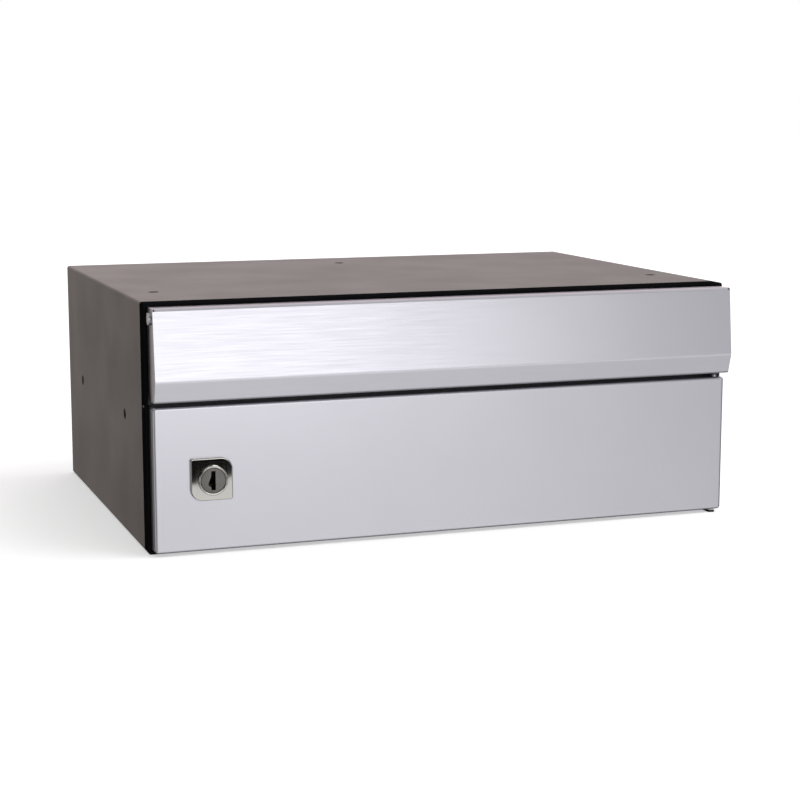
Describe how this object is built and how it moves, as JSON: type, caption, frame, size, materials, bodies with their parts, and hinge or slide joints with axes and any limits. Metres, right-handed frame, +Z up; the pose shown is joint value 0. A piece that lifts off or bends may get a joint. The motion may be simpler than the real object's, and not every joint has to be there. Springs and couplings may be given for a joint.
{
  "type": "letterbox",
  "caption": "Horizontal indoor letterbox: steel box with a moulded front frame, a lift-up flap over the letter slot and a side-hung door with a cam lock.",
  "frame": {"origin": "under the middle of the whole object, on the surface that it stands on", "axes": "+X to the right as seen by someone facing the door, front towards -Y, +Z up"},
  "size_m": [0.37, 0.2746, 0.146],
  "materials": {
    "shell_paint": "dark warm grey powder coat, satin",
    "frame_plastic": "black moulded plastic, fine grain",
    "bar_paint": "near-black powder coat",
    "guard_zinc": "zinc-coated sheet",
    "face_aluminium": "natural anodised, finely brushed",
    "chrome_plate": "polished chrome plate",
    "plug_steel": "nickel-plated, face turned",
    "zinc_steel": "bright zinc plate",
    "nylon": "natural nylon",
    "brass": "stamped",
    "rubber": "matt black"
  },
  "bodies": {
    "cabinet": {"body_shell": "shell_paint", "rear_panel": "shell_paint", "front_frame": "frame_plastic", "crossbar": "bar_paint", "slot_guard": "guard_zinc", "frame_screw_1": "zinc_steel", "frame_screw_2": "zinc_steel", "frame_screw_3": "zinc_steel", "frame_screw_4": "zinc_steel", "frame_screw_5": "zinc_steel", "frame_screw_6": "zinc_steel", "frame_screw_7": "zinc_steel", "frame_screw_8": "zinc_steel", "frame_screw_9": "zinc_steel", "frame_screw_10": "zinc_steel", "guard_screw_1": "zinc_steel", "guard_screw_2": "zinc_steel", "guard_screw_3": "zinc_steel", "flap_buffer_left": "rubber", "flap_buffer_right": "rubber", "door_buffer_high": "rubber", "door_buffer_low": "rubber"},
    "flap": {"flap_panel": "face_aluminium", "flap_pin_left": "zinc_steel", "flap_pin_right": "zinc_steel", "flap_clip_left": "zinc_steel", "flap_clip_right": "zinc_steel"},
    "door": {"door_panel": "face_aluminium", "door_block_top": "nylon", "door_block_bottom": "nylon", "door_pin_top": "zinc_steel", "door_pin_bottom": "zinc_steel", "escutcheon": "chrome_plate", "lock_housing": "chrome_plate", "lock_nut": "zinc_steel"},
    "plug": {"lock_plug": "plug_steel", "wafer_1": "brass", "wafer_2": "brass", "wafer_3": "brass", "wafer_4": "brass", "wafer_5": "brass", "stop_washer": "zinc_steel", "lock_cam": "zinc_steel", "cam_washer": "zinc_steel", "cam_screw": "zinc_steel"}
  },
  "joints": [
    {"name": "flap_hinge", "type": "hinge", "parent": "cabinet", "child": "flap", "pos_m": [0, -0.12618, 0.138], "axis": [-1, 0, 0], "range_deg": [0, 80]},
    {"name": "door_hinge", "type": "hinge", "parent": "cabinet", "child": "door", "pos_m": [0.1776, -0.12518, 0.045], "axis": [0, 0, 1], "range_deg": [0, 110]},
    {"name": "lock_turn", "type": "hinge", "parent": "door", "child": "plug", "pos_m": [-0.1488, -0.11868, 0.0437], "axis": [0, 1, 0], "range_deg": [0, 90]}
  ]
}
